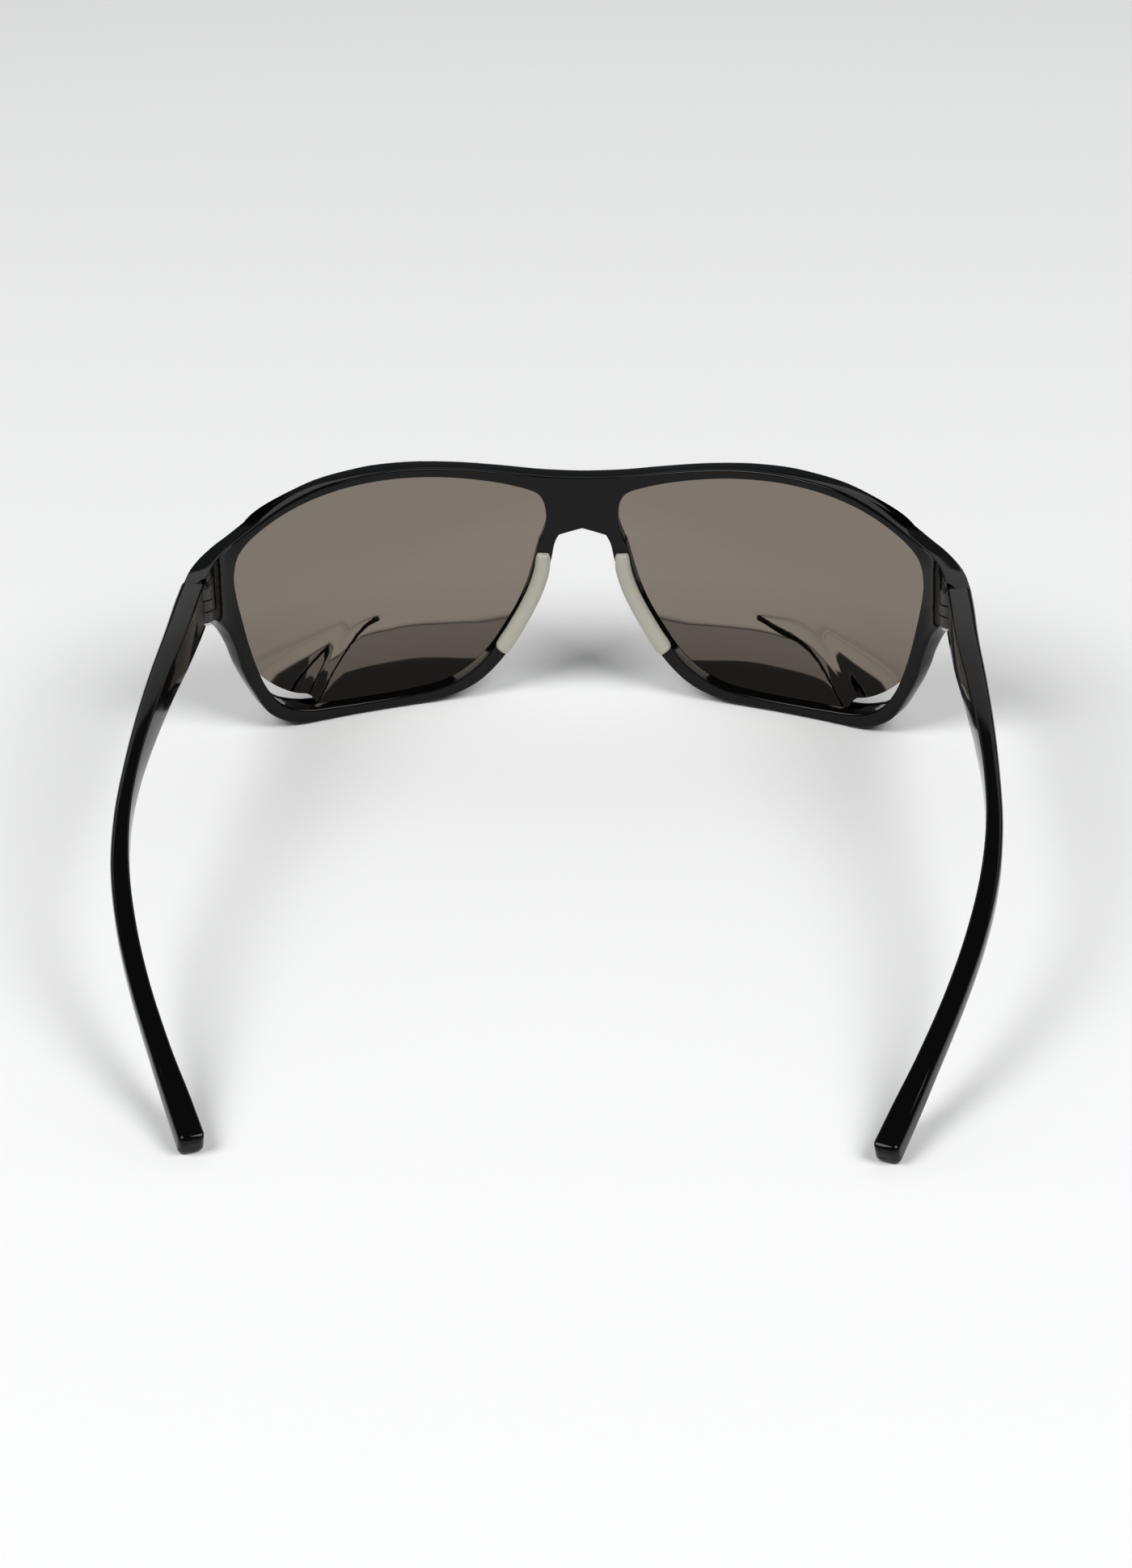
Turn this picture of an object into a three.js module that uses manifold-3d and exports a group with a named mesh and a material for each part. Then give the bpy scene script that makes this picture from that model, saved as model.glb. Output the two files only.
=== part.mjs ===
// Wraparound sports sunglasses: gloss front frame, two vented lenses, soft nose
// pads and two folding arms on barrel hinges. Millimetres, +Z up.
// The front faces -Y, the arms run back along +Y and the wearer's left is +X.
// The sunglasses stand on the lower rims and the two arm tips at z = 0.
import * as THREE from 'three';
import { mergeVertices } from 'three/addons/utils/BufferGeometryUtils.js';
import Module from 'manifold-3d';

const wasm = await Module();
wasm.setup();

// ---- driving dimensions -------------------------------------------------
const WRAP_RADIUS = 112; // plan radius of the front's rear face
const WRAP_ARC = 65.1; // arc length from the centre to where the corner bend starts
const CORNER_RADIUS = 10; // plan radius of the bend into the hinge
const HINGE_ANGLE = THREE.MathUtils.degToRad(78); // plan direction of the arm's start
const LEAN = THREE.MathUtils.degToRad(4); // the top of the front leans forward
const LEAN_HEIGHT = 24; // height at which the lean and the upright curve are zero
const UPRIGHT_RADIUS = 120; // upright curve of the front
const FRONT_DEPTH = 5.0; // front to rear over the rims
const HINGE_DEPTH = 4.5; // front to rear at the hinge
const LENS_DEPTH = 2.45; // rear face of the rim to rear face of the lens
const LENS_THICKNESS = 1.7;
const GROOVE_GAP = 0.25; // lens to groove wall
const GROOVE_REACH = 1.2; // how far the lens groove goes into the rim
const LENS_REACH = 0.9; // how far the lens edge goes into the groove
const LENS_DOME = 2.2; // how far the lens bulges forwards in its middle
const CENTRE_OVERLAP = 0.4; // how far each half runs past the centre line before it is trimmed
const EDGE_ROUND = 0.9; // rounding of the outer edges
const LIP_ROUND = 0.35; // rounding of the lens opening's rear edge

const JOINT_LENGTH = 76.65; // arc length from the centre to the hinge axis
const JOINT_GAP = 0.4; // gap between the front and an arm
const JOINT_TOP = 35.8;
const JOINT_BOTTOM = 26.9;
const AXIS_DEPTH = 0.4; // how far the hinge axis is inside the inner face
const CORNER_RELIEF = 0.9; // radius cut from the inner corners at the joint
const KNUCKLE_RADIUS = 1.7;
const KNUCKLE_BORE = 1.0; // radius of the screw's hole
const KNUCKLE_HEIGHT = 1.95;
const KNUCKLE_GAP = 0.3;
const KNUCKLE_ROOM = 2.1; // radius kept free round the knuckles
const KNUCKLE_LEVELS = { front: [-1, 1], arm: [0] };
const NECK_START = 1.25; // where a leaf's neck meets its knuckle
const SCREW_RADIUS = 0.7;
const SCREW_HEAD_RADIUS = 1.35;
const SCREW_HEAD_HEIGHT = 0.5;
const LEAF_THICKNESS = 1.0;
const LEAF_GAP = 0.3;
const FRONT_LEAF_END = 4.6; // distance from the axis to the leaf's far end
const ARM_LEAF_END = 8.6;
const ARM_LEAF_TURN = THREE.MathUtils.degToRad(8); // the arm leaves the joint this much straighter

const PAD_HALF_WIDTH = 1.2;
const PAD_HALF_DEPTH = 1.45;
const PAD_GAP = 0.3;

const ORIGIN_Y = 76.72; // the middle of the whole object, front to rear
const STATIONS_PER_STEP = 2; // front sections between two listed stations
const REAR_ROWS = 4; // rows of faces across the rim

// Stations round one half of the front, as developed on the wrap: the lens
// opening, the outline opposite it, the groove depth there and how much lower
// the outline is at the front face than at the rear face.
const FRONT_STATIONS = [
  { inner: [7.8, 30.6], outer: [0, 33.6], groove: 1, drop: 0, corner: true },
  { inner: [6.7, 34.0], outer: [0, 36.0], groove: 1, drop: 0 },
  { inner: [6.8, 37.3], outer: [0, 40.0], groove: 1, drop: 0.3 },
  { inner: [8.4, 40.3], outer: [0, 43.4], groove: 1, drop: 0.6, corner: true },
  { inner: [13.0, 42.1], outer: [7, 43.8], groove: 1, drop: 0.6 },
  { inner: [18.1, 43.4], outer: [14.5, 45.0], groove: 1, drop: 0.6 },
  { inner: [25.2, 44.7], outer: [23, 46.4], groove: 1, drop: 0.6 },
  { inner: [32.5, 45.4], outer: [31.5, 47.3], groove: 1, drop: 0.6 },
  { inner: [39.8, 45.4], outer: [40.5, 47.1], groove: 1, drop: 0.5 },
  { inner: [46.8, 44.6], outer: [48.5, 46.1], groove: 1, drop: 0.4 },
  { inner: [53.5, 42.9], outer: [56, 43.6], groove: 1, drop: 0.5 },
  { inner: [58.8, 40.7], outer: [63, 40.2], groove: 1, drop: 1.1 },
  { inner: [63.3, 37.9], outer: [69.5, 37.4], groove: 1, drop: 1.7 },
  { inner: [65.4, 35.4], outer: [JOINT_LENGTH - JOINT_GAP / 2, JOINT_TOP], groove: 1, drop: 1.8, corner: true },
  { inner: [66.3, 31.5], outer: [JOINT_LENGTH - JOINT_GAP / 2, 31.5], groove: 1, drop: 0.7 },
  { inner: [66.1, 28.5], outer: [JOINT_LENGTH - JOINT_GAP / 2, JOINT_BOTTOM], groove: 1, drop: 0, corner: true },
  { inner: [65.7, 26.0], outer: [71.8, 25.3], groove: 1, drop: 0 },
  { inner: [65.0, 22.5], outer: [68.4, 21.8], groove: 1, drop: 0 },
  { inner: [64.0, 18.0], outer: [66.6, 17.6], groove: 1, drop: 0 },
  { inner: [62.5, 13.0], outer: [65.2, 12.4], groove: 1, drop: 0 },
  { inner: [60.6, 8.6], outer: [63.0, 8.0], groove: 0.2, drop: 0 },
  { inner: [57.6, 4.9], outer: [59.9, 3.4], groove: 0.15, drop: 0 },
  { inner: [53.0, 2.9], outer: [54.8, 0.6], groove: 0.15, drop: 0 },
  { inner: [47.0, 2.3], outer: [48.2, 0.0], groove: 1, drop: 0 },
  { inner: [40.0, 2.1], outer: [41, 0.0], groove: 1, drop: 0 },
  { inner: [32.5, 2.3], outer: [33, 0.2], groove: 1, drop: 0 },
  { inner: [25.8, 3.3], outer: [25.8, 0.8], groove: 1, drop: 0 },
  { inner: [21.4, 5.5], outer: [20.0, 3.0], groove: 1, drop: 0 },
  { inner: [17.6, 8.9], outer: [15.4, 7.0], groove: 1, drop: 0 },
  { inner: [14.6, 13.2], outer: [12.0, 11.9], groove: 1, drop: 0 },
  { inner: [12.1, 17.5], outer: [9.4, 16.5], groove: 1, drop: 0 },
  { inner: [10.3, 21.9], outer: [7.5, 21.2], groove: 1, drop: 0 },
  { inner: [9.0, 26.5], outer: [5.9, 26.0], groove: 1, drop: 0 },
  { inner: [8.5, 28.6], outer: [5.0, 30.0], groove: 1, drop: 0 },
  { inner: [8.2, 29.8], outer: [3.0, 32.8], groove: 1, drop: 0 },
];

// The lens's own edge where it leaves the groove to open the vent, and where
// along the stations that edge takes over from the groove.
const VENT_EDGE = [
  [62.6, 12.4],
  [61.4, 10.8],
  [59.6, 8.9],
  [57.2, 7.0],
  [54.4, 5.4],
  [51.8, 4.6],
  [51.0, 4.0],
  [50.3, 2.9],
  [49.4, 2.1],
];
const VENT_FROM = 19;
const VENT_TO = 22.9;

// The line down the middle of a nose pad, on the wrap.
const PAD_LINE = [
  [7.3, 27.9],
  [7.6, 24.6],
  [8.8, 20.8],
  [10.5, 17.2],
  [12.5, 13.7],
  [14.7, 10.3],
  [15.5, 9.2],
];

// An arm: distance back, outer edge, top edge, width and height.
const ARM_STATIONS = [
  { y: 28.6, outer: 70.9, top: 35.8, width: 4.4, height: 8.9 },
  { y: 34, outer: 71.2, top: 35.7, width: 4.4, height: 8.8 },
  { y: 46, outer: 71.7, top: 35.2, width: 4.2, height: 7.8 },
  { y: 58, outer: 72.7, top: 33.8, width: 3.7, height: 7.1 },
  { y: 70, outer: 73.6, top: 31.7, width: 3.2, height: 6.3 },
  { y: 82, outer: 74.2, top: 29.1, width: 2.8, height: 5.3 },
  { y: 94, outer: 74.4, top: 26.1, width: 2.9, height: 4.4 },
  { y: 106, outer: 73.5, top: 22.8, width: 3.2, height: 3.9 },
  { y: 118, outer: 71.1, top: 19.0, width: 3.3, height: 3.6 },
  { y: 130, outer: 67.5, top: 14.9, width: 3.3, height: 3.5 },
  { y: 142, outer: 63.0, top: 10.2, width: 3.5, height: 3.7 },
  { y: 151, outer: 59.4, top: 6.2, width: 4.1, height: 3.9 },
  { y: 158, outer: 56.6, top: 3.02, width: 4.3, height: 4.0 },
];
const ARM_SECTIONS = 30;
const ARM_SIDES = 16;
const ARM_SQUARENESS = 5; // how square the arm's section is
const TIP_ROUND = 1.4;

// ---- finishes -------------------------------------------------------------
const FINISH = {
  gloss: { color: 0x0b0b0c, roughness: 0.08, metalness: 0 },
  lens: { color: 0x7d776e, roughness: 0.04, metalness: 0.6 },
  rubber: { color: 0xadaba7, roughness: 0.6, metalness: 0 },
  hinge: { color: 0x1c1a19, roughness: 0.35, metalness: 0 },
  steel: { color: 0x8f9296, roughness: 0.3, metalness: 1 },
};

// ---- solids ---------------------------------------------------------------
function closed(geometry) {
  const bare = geometry.clone();
  bare.deleteAttribute('normal');
  bare.deleteAttribute('uv');
  return mergeVertices(bare, 1e-5);
}

function solidOf(geometry) {
  const merged = closed(geometry);
  const vertProperties = new Float32Array(merged.attributes.position.array);
  const triVerts = new Uint32Array(merged.index.array);
  return new wasm.Manifold(new wasm.Mesh({ numProp: 3, vertProperties, triVerts }));
}

function geometryOf(solid) {
  const mesh = solid.getMesh();
  const geometry = new THREE.BufferGeometry();
  geometry.setAttribute('position', new THREE.BufferAttribute(mesh.vertProperties, 3));
  geometry.setIndex(new THREE.BufferAttribute(mesh.triVerts, 1));
  geometry.computeVertexNormals();
  return geometry;
}

function flipped(geometry) {
  const turned = geometry.clone();
  const index = turned.index.array;
  for (let i = 0; i < index.length; i += 3) {
    const kept = index[i];
    index[i] = index[i + 1];
    index[i + 1] = kept;
  }
  return turned;
}

function mirrored(geometry) {
  return flipped(closed(geometry).applyMatrix4(new THREE.Matrix4().makeScale(-1, 1, 1)));
}

// ---- the wrap: arc length, height and depth to a point ---------------------
function planOf(length) {
  const arc = Math.abs(length);
  const startAngle = WRAP_ARC / WRAP_RADIUS;
  const bendArc = CORNER_RADIUS * (HINGE_ANGLE - startAngle);
  const rim = Math.min(arc, WRAP_ARC);
  const bend = THREE.MathUtils.clamp(arc - WRAP_ARC, 0, bendArc);
  const straight = Math.max(arc - WRAP_ARC - bendArc, 0);
  const rimAngle = rim / WRAP_RADIUS;
  const angle = rimAngle + bend / CORNER_RADIUS;
  const x = WRAP_RADIUS * Math.sin(rimAngle)
    + CORNER_RADIUS * (Math.sin(angle) - Math.sin(rimAngle))
    + straight * Math.cos(angle);
  const y = WRAP_RADIUS * (1 - Math.cos(rimAngle))
    + CORNER_RADIUS * (Math.cos(rimAngle) - Math.cos(angle))
    + straight * Math.sin(angle);
  return { x, y, angle };
}

function wrapPoint(length, height, depth) {
  const { x, y, angle } = planOf(length);
  const side = Math.sign(length) || 1;
  const above = height - LEAN_HEIGHT;
  const lean = above ** 2 / (2 * UPRIGHT_RADIUS) - above * Math.tan(LEAN);
  return new THREE.Vector3(
    side * (x + depth * Math.sin(angle)),
    y - depth * Math.cos(angle) + lean,
    height,
  );
}

// ---- general bodies ---------------------------------------------------------
// A ring of sections, each a closed loop of points, joined into one body.
function ringBody(sections) {
  const around = sections.length;
  const sides = sections[0].length;
  const geometry = new THREE.TorusGeometry(1, 0.5, sides, around);
  const position = geometry.attributes.position;
  for (let side = 0; side <= sides; side += 1) {
    for (let station = 0; station <= around; station += 1) {
      const point = sections[station % around][side % sides];
      position.setXYZ(side * (around + 1) + station, point.x, point.y, point.z);
    }
  }
  return geometry;
}

// A bar with closed ends: place(along, angle, reach) gives each point, with
// reach 0 in the middle of an end and 1 on the outside.
function barBody(sides, sections, place) {
  const geometry = new THREE.CylinderGeometry(1, 1, 1, sides, sections);
  const position = geometry.attributes.position;
  for (let i = 0; i < position.count; i += 1) {
    const along = 0.5 - position.getY(i);
    const angle = Math.atan2(position.getX(i), position.getZ(i));
    const reach = Math.hypot(position.getX(i), position.getZ(i));
    const point = place(along, angle, reach);
    position.setXYZ(i, point.x, point.y, point.z);
  }
  return geometry;
}

// A point of a rounded square of half width 1, squarer as the power grows.
function roundedSquare(angle, power) {
  const exact = (value) => Math.round(value * 1e5) / 1e5;
  const cosine = exact(Math.cos(angle));
  const sine = exact(Math.sin(angle));
  return {
    across: Math.sign(cosine) * Math.abs(cosine) ** (2 / power),
    up: Math.sign(sine) * Math.abs(sine) ** (2 / power),
  };
}

function ringOfRevolution(inner, outer, bottom, top) {
  const profile = [
    new THREE.Vector2(inner, bottom),
    new THREE.Vector2(outer, bottom),
    new THREE.Vector2(outer, top),
    new THREE.Vector2(inner, top),
    new THREE.Vector2(inner, bottom),
  ];
  return new THREE.LatheGeometry(profile, 20).rotateX(Math.PI / 2);
}

// ---- curves of the front ----------------------------------------------------
const flat = ([length, height]) => new THREE.Vector3(length, height, 0);
const count = FRONT_STATIONS.length;
const openingCurve = new THREE.CatmullRomCurve3(FRONT_STATIONS.map((s) => flat(s.inner)), true);
const openingAt = (place) => openingCurve.getPoint(((place % count) + count) % count / count);

// The outline is smooth between its corners, and flat where the rims stand on
// the ground.
const corners = FRONT_STATIONS.flatMap((station, i) => (station.corner ? [i] : []));
const outlineSpans = corners.map((from, i) => {
  const to = i + 1 < corners.length ? corners[i + 1] : count;
  const points = [];
  for (let station = from; station <= to; station += 1) {
    points.push(flat(FRONT_STATIONS[station % count].outer));
  }
  return { from, to, curve: new THREE.CatmullRomCurve3(points) };
});

function outlineAt(place) {
  const span = outlineSpans.find(({ from, to }) => place >= from && place < to);
  const point = span.curve.getPoint((place - span.from) / (span.to - span.from));
  point.y = Math.max(point.y, 0);
  return point;
}

function stationValue(place, key) {
  const before = Math.floor(place);
  const share = place - before;
  const first = FRONT_STATIONS[before % count][key];
  const second = FRONT_STATIONS[(before + 1) % count][key];
  return first + (second - first) * share;
}

function depthAt(length) {
  return THREE.MathUtils.lerp(
    FRONT_DEPTH,
    HINGE_DEPTH,
    THREE.MathUtils.smoothstep(Math.abs(length), WRAP_ARC, JOINT_LENGTH),
  );
}

// One section of the front, from the lens opening out to the outline.
function frontSection(place) {
  const inner = openingAt(place);
  const outer = outlineAt(place);
  const across = new THREE.Vector3().subVectors(outer, inner);
  const width = across.length();
  const way = across.clone().normalize();
  const groove = GROOVE_REACH * stationValue(place, 'groove');
  const drop = stationValue(place, 'drop');
  const onCentre = outer.x < 1e-6;
  const end = onCentre ? width + CENTRE_OVERLAP : width;
  const round = onCentre ? 0 : Math.min(EDGE_ROUND, width * 0.35);
  const grooveRear = LENS_DEPTH - GROOVE_GAP;
  const grooveFront = LENS_DEPTH + LENS_THICKNESS + GROOVE_GAP;
  const depth = depthAt(outer.x);
  const at = (reach, level) => {
    const point = inner.clone().addScaledVector(way, reach);
    const beyondGroove = (reach - GROOVE_REACH) / (width - GROOVE_REACH);
    const lower = drop * (level / depth) * THREE.MathUtils.clamp(beyondGroove, 0, 1);
    return wrapPoint(point.x, point.y - lower, level);
  };
  const points = [at(LIP_ROUND, 0)];
  for (let row = 1; row <= REAR_ROWS; row += 1) {
    points.push(at(THREE.MathUtils.lerp(LIP_ROUND, end - round, row / REAR_ROWS), 0));
  }
  points.push(at(end - round * 0.3, round * 0.3));
  points.push(at(end, round + 0.1));
  points.push(at(end, depth - round - 0.1));
  points.push(at(end - round * 0.3, depth - round * 0.3));
  for (let row = REAR_ROWS; row >= 1; row -= 1) {
    points.push(at(THREE.MathUtils.lerp(LIP_ROUND, end - round, row / REAR_ROWS), depth));
  }
  points.push(at(LIP_ROUND, depth));
  points.push(at(0, depth - 0.15));
  points.push(at(0, grooveFront));
  points.push(at(groove, grooveFront));
  points.push(at(groove, grooveRear));
  points.push(at(0, grooveRear));
  points.push(at(0, LIP_ROUND));
  return points;
}

function frontHalf() {
  const sections = [];
  for (let step = 0; step < count * STATIONS_PER_STEP; step += 1) {
    sections.push(frontSection(step / STATIONS_PER_STEP));
  }
  return ringBody(sections);
}

// ---- lens -------------------------------------------------------------------
function lensEdge() {
  const edge = [];
  for (let step = 0; step < count * 2; step += 1) {
    const place = step / 2;
    if (place > VENT_FROM && place < VENT_TO) continue;
    const inner = openingAt(place);
    const way = outlineAt(place).sub(inner).normalize();
    edge.push({ place, point: inner.addScaledVector(way, LENS_REACH) });
  }
  const vent = new THREE.CatmullRomCurve3(VENT_EDGE.slice(0, 6).map(flat));
  const ventPoints = [...vent.getPoints(8), ...VENT_EDGE.slice(6).map(flat)];
  ventPoints.forEach((point, i) => {
    const share = (i + 1) / (ventPoints.length + 1);
    edge.push({ place: VENT_FROM + (VENT_TO - VENT_FROM) * share, point });
  });
  edge.sort((a, b) => a.place - b.place);
  return edge.map(({ point }) => point);
}

function lensBody() {
  const edge = lensEdge();
  const middle = new THREE.Vector3(36, 25, 0);
  const rings = [0, 0.4, 0.7, 0.88, 1, 1, 0.88, 0.7, 0.4, 0];
  const around = edge.length;
  const geometry = new THREE.SphereGeometry(1, around, rings.length - 1);
  const position = geometry.attributes.position;
  rings.forEach((reach, ring) => {
    const face = ring < rings.length / 2 ? LENS_DEPTH : LENS_DEPTH + LENS_THICKNESS;
    const depth = face + LENS_DOME * (1 - reach ** 2);
    for (let i = 0; i <= around; i += 1) {
      const point = middle.clone().lerp(edge[i % around], reach);
      const place = wrapPoint(point.x, point.y, depth);
      position.setXYZ(ring * (around + 1) + i, place.x, place.y, place.z);
    }
  });
  return geometry;
}

// ---- nose pad ---------------------------------------------------------------
function padBody(grow) {
  const line = new THREE.CatmullRomCurve3(PAD_LINE.map(flat));
  return barBody(12, 16, (along, angle, reach) => {
    const middle = line.getPoint(along);
    const ahead = line.getTangent(along);
    const { across, up } = roundedSquare(angle, 2.6);
    const closing = Math.sqrt(Math.max(0, 1 - (2 * along - 1) ** 8));
    const taper = 0.35 + 0.65 * closing;
    const width = (PAD_HALF_WIDTH * taper + grow) * across * reach;
    const depth = (PAD_HALF_DEPTH * taper + grow) * up * reach;
    const stretch = grow * (2 * along - 1);
    return wrapPoint(
      middle.x + ahead.y * width + ahead.x * stretch,
      middle.y - ahead.x * width + ahead.y * stretch,
      depth,
    );
  });
}

// ---- arm ----------------------------------------------------------------------
const armLine = new THREE.CatmullRomCurve3(ARM_STATIONS.map((s) => (
  new THREE.Vector3(s.outer - s.width / 2, s.y, s.top - s.height / 2)
)));
const armSize = new THREE.CatmullRomCurve3(ARM_STATIONS.map((s) => (
  new THREE.Vector3(s.width, s.height, 0)
)));

function armBody() {
  const startWay = new THREE.Vector3(Math.cos(HINGE_ANGLE), Math.sin(HINGE_ANGLE), 0);
  const upright = new THREE.Vector3(0, 0, 1);
  const length = armLine.getLength();
  return barBody(ARM_SIDES, ARM_SECTIONS, (along, angle, reach) => {
    const middle = armLine.getPoint(along);
    const size = armSize.getPoint(along);
    const turn = THREE.MathUtils.smoothstep(along, 0, 0.08);
    const way = startWay.clone().lerp(armLine.getTangent(along), turn).normalize();
    const outward = new THREE.Vector3().crossVectors(way, upright).normalize();
    const above = new THREE.Vector3().crossVectors(outward, way).normalize();
    const { across, up } = roundedSquare(angle, ARM_SQUARENESS);
    const left = (1 - along) * length;
    const tip = left < TIP_ROUND ? Math.sqrt(1 - (1 - left / TIP_ROUND) ** 2) : 1;
    const scale = reach * (0.55 + 0.45 * tip);
    return middle
      .addScaledVector(outward, (across * scale * size.x) / 2)
      .addScaledVector(above, (up * scale * size.y) / 2);
  });
}

// ---- hinge, in its own frame: X along the joint, Y inwards, Z up ---------------
const STACK_HALF = KNUCKLE_HEIGHT * 1.5 + KNUCKLE_GAP;
const hingeMiddle = (JOINT_TOP + JOINT_BOTTOM) / 2;
const hingeAxis = wrapPoint(JOINT_LENGTH, hingeMiddle, AXIS_DEPTH);
const hingeMatrix = new THREE.Matrix4()
  .makeRotationZ(HINGE_ANGLE)
  .setPosition(hingeAxis.x, hingeAxis.y, hingeAxis.z);

function block(x, y, z) {
  const geometry = new THREE.BoxGeometry(x[1] - x[0], y[1] - y[0], z[1] - z[0]);
  return geometry.translate((x[0] + x[1]) / 2, (y[0] + y[1]) / 2, (z[0] + z[1]) / 2);
}

function upright(radius, bottom, top) {
  const geometry = new THREE.CylinderGeometry(radius, radius, top - bottom, 24);
  return geometry.rotateX(Math.PI / 2).translate(0, 0, (top + bottom) / 2);
}

// A hinge leaf with its knuckles: side -1 is fixed in the front, 1 in the arm.
function leafBody(side, leafEnd, levels, turn) {
  const thick = [AXIS_DEPTH - LEAF_THICKNESS, AXIS_DEPTH];
  const span = (from, to) => (side > 0 ? [from, to] : [-to, -from]);
  let leaf = solidOf(block(span(KNUCKLE_ROOM, leafEnd), thick, [-STACK_HALF, STACK_HALF]));
  levels.forEach((level) => {
    const middle = level * (KNUCKLE_HEIGHT + KNUCKLE_GAP);
    const height = [middle - KNUCKLE_HEIGHT / 2, middle + KNUCKLE_HEIGHT / 2];
    leaf = leaf.add(solidOf(block(span(NECK_START, KNUCKLE_ROOM + 0.1), thick, height)));
    leaf = leaf.add(solidOf(ringOfRevolution(KNUCKLE_BORE, KNUCKLE_RADIUS, ...height)));
  });
  return geometryOf(leaf).rotateZ(turn);
}

// The room that a leaf and the knuckles need in the front or in the arm.
function hingeRoom(side, leafEnd, turn) {
  const inside = [AXIS_DEPTH - LEAF_THICKNESS - LEAF_GAP, FRONT_DEPTH];
  const along = side > 0 ? [0, leafEnd + LEAF_GAP] : [-leafEnd - LEAF_GAP, 0];
  const height = STACK_HALF + LEAF_GAP;
  return solidOf(block(along, inside, [-height, height]).rotateZ(turn))
    .add(solidOf(upright(KNUCKLE_ROOM, -FRONT_DEPTH * 2, height)))
    .add(solidOf(upright(CORNER_RELIEF, -FRONT_DEPTH * 2, FRONT_DEPTH * 2)));
}

function screwBody() {
  const bottom = -STACK_HALF - LEAF_GAP;
  const head = solidOf(upright(SCREW_HEAD_RADIUS, bottom - SCREW_HEAD_HEIGHT, bottom));
  const shank = solidOf(upright(SCREW_RADIUS, bottom - 0.1, STACK_HALF - 0.1));
  const slot = solidOf(block([-2, 2], [-0.2, 0.2], [bottom - 1, bottom - SCREW_HEAD_HEIGHT / 2]));
  return geometryOf(head.add(shank).subtract(slot));
}

// ---- the left half's solids, and the whole front -----------------------------
const room = hingeRoom(-1, FRONT_LEAF_END, 0);
const placedRoom = solidOf(geometryOf(room).applyMatrix4(hingeMatrix));
const leftFront = solidOf(flipped(closed(frontHalf())))
  .subtract(placedRoom)
  .subtract(solidOf(padBody(PAD_GAP)))
  .trimByPlane([1, 0, 0], 0);
const front = leftFront.add(solidOf(mirrored(geometryOf(leftFront))));

const armRoom = hingeRoom(1, ARM_LEAF_END, ARM_LEAF_TURN);
const placedArmRoom = solidOf(geometryOf(armRoom).applyMatrix4(hingeMatrix));
const arm = geometryOf(solidOf(armBody()).subtract(placedArmRoom));

const frontLeaf = leafBody(-1, FRONT_LEAF_END, KNUCKLE_LEVELS.front, 0);
const armLeaf = leafBody(1, ARM_LEAF_END, KNUCKLE_LEVELS.arm, ARM_LEAF_TURN);

// ---- the assembly --------------------------------------------------------------
const sunglasses = new THREE.Group();

function addPart(name, geometry, finish) {
  const mesh = new THREE.Mesh(geometry, new THREE.MeshStandardMaterial(FINISH[finish]));
  mesh.name = name;
  sunglasses.add(mesh);
}

// One body for the left side and its mirror image for the right side.
function addPair(name, geometry, finish) {
  addPart(`left_${name}`, closed(geometry), finish);
  addPart(`right_${name}`, mirrored(geometry), finish);
}

addPart('front_frame', geometryOf(front), 'gloss');
addPair('lens', lensBody(), 'lens');
addPair('nose_pad', padBody(0), 'rubber');
addPair('temple', arm, 'gloss');
addPair('front_hinge_leaf', frontLeaf.applyMatrix4(hingeMatrix), 'hinge');
addPair('temple_hinge_leaf', armLeaf.applyMatrix4(hingeMatrix), 'hinge');
addPair('hinge_screw', screwBody().applyMatrix4(hingeMatrix), 'steel');

// The origin is on the ground under the middle of the whole object.
sunglasses.position.set(0, -ORIGIN_Y, 0);

export default sunglasses;
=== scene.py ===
"""Wraparound sport sunglasses on a pale studio floor, seen from behind and above.

The front, the lenses and the nose pads are modelled flat, as if the front were rolled out on the bench:
X runs round the wrap, Z is the height and -Y the depth towards the front. Then they are wrapped.
The arms and the hinge cutters are modelled in place. Sizes are in millimetres unless a name or a
comment says metres; MM takes them to Blender's metres.
"""
import math

import bmesh
import bpy
from mathutils import Matrix, Vector


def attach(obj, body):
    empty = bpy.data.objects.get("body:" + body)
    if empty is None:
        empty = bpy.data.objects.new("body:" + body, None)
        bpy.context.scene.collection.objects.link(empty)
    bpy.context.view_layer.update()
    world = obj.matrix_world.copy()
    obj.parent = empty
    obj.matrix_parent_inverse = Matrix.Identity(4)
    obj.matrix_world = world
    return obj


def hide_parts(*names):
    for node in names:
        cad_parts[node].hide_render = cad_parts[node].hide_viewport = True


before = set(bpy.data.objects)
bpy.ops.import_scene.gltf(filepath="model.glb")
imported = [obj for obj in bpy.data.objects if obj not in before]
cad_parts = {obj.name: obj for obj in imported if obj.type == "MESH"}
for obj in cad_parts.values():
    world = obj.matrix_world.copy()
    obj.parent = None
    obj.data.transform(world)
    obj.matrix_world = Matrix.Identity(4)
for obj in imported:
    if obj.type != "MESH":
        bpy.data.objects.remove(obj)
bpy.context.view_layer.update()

MM = 0.001

# ---- the wrap: an arc round the face, a tight corner, then a straight end ------
ORIGIN_Y = 76.72
WRAP_RADIUS = 112.0
WRAP_ARC = 65.1
CORNER_RADIUS = 10.0
HINGE_ANGLE = math.radians(78)
LEAN = math.radians(4)
LEAN_HEIGHT = 24.0
UPRIGHT_RADIUS = 120.0

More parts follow.
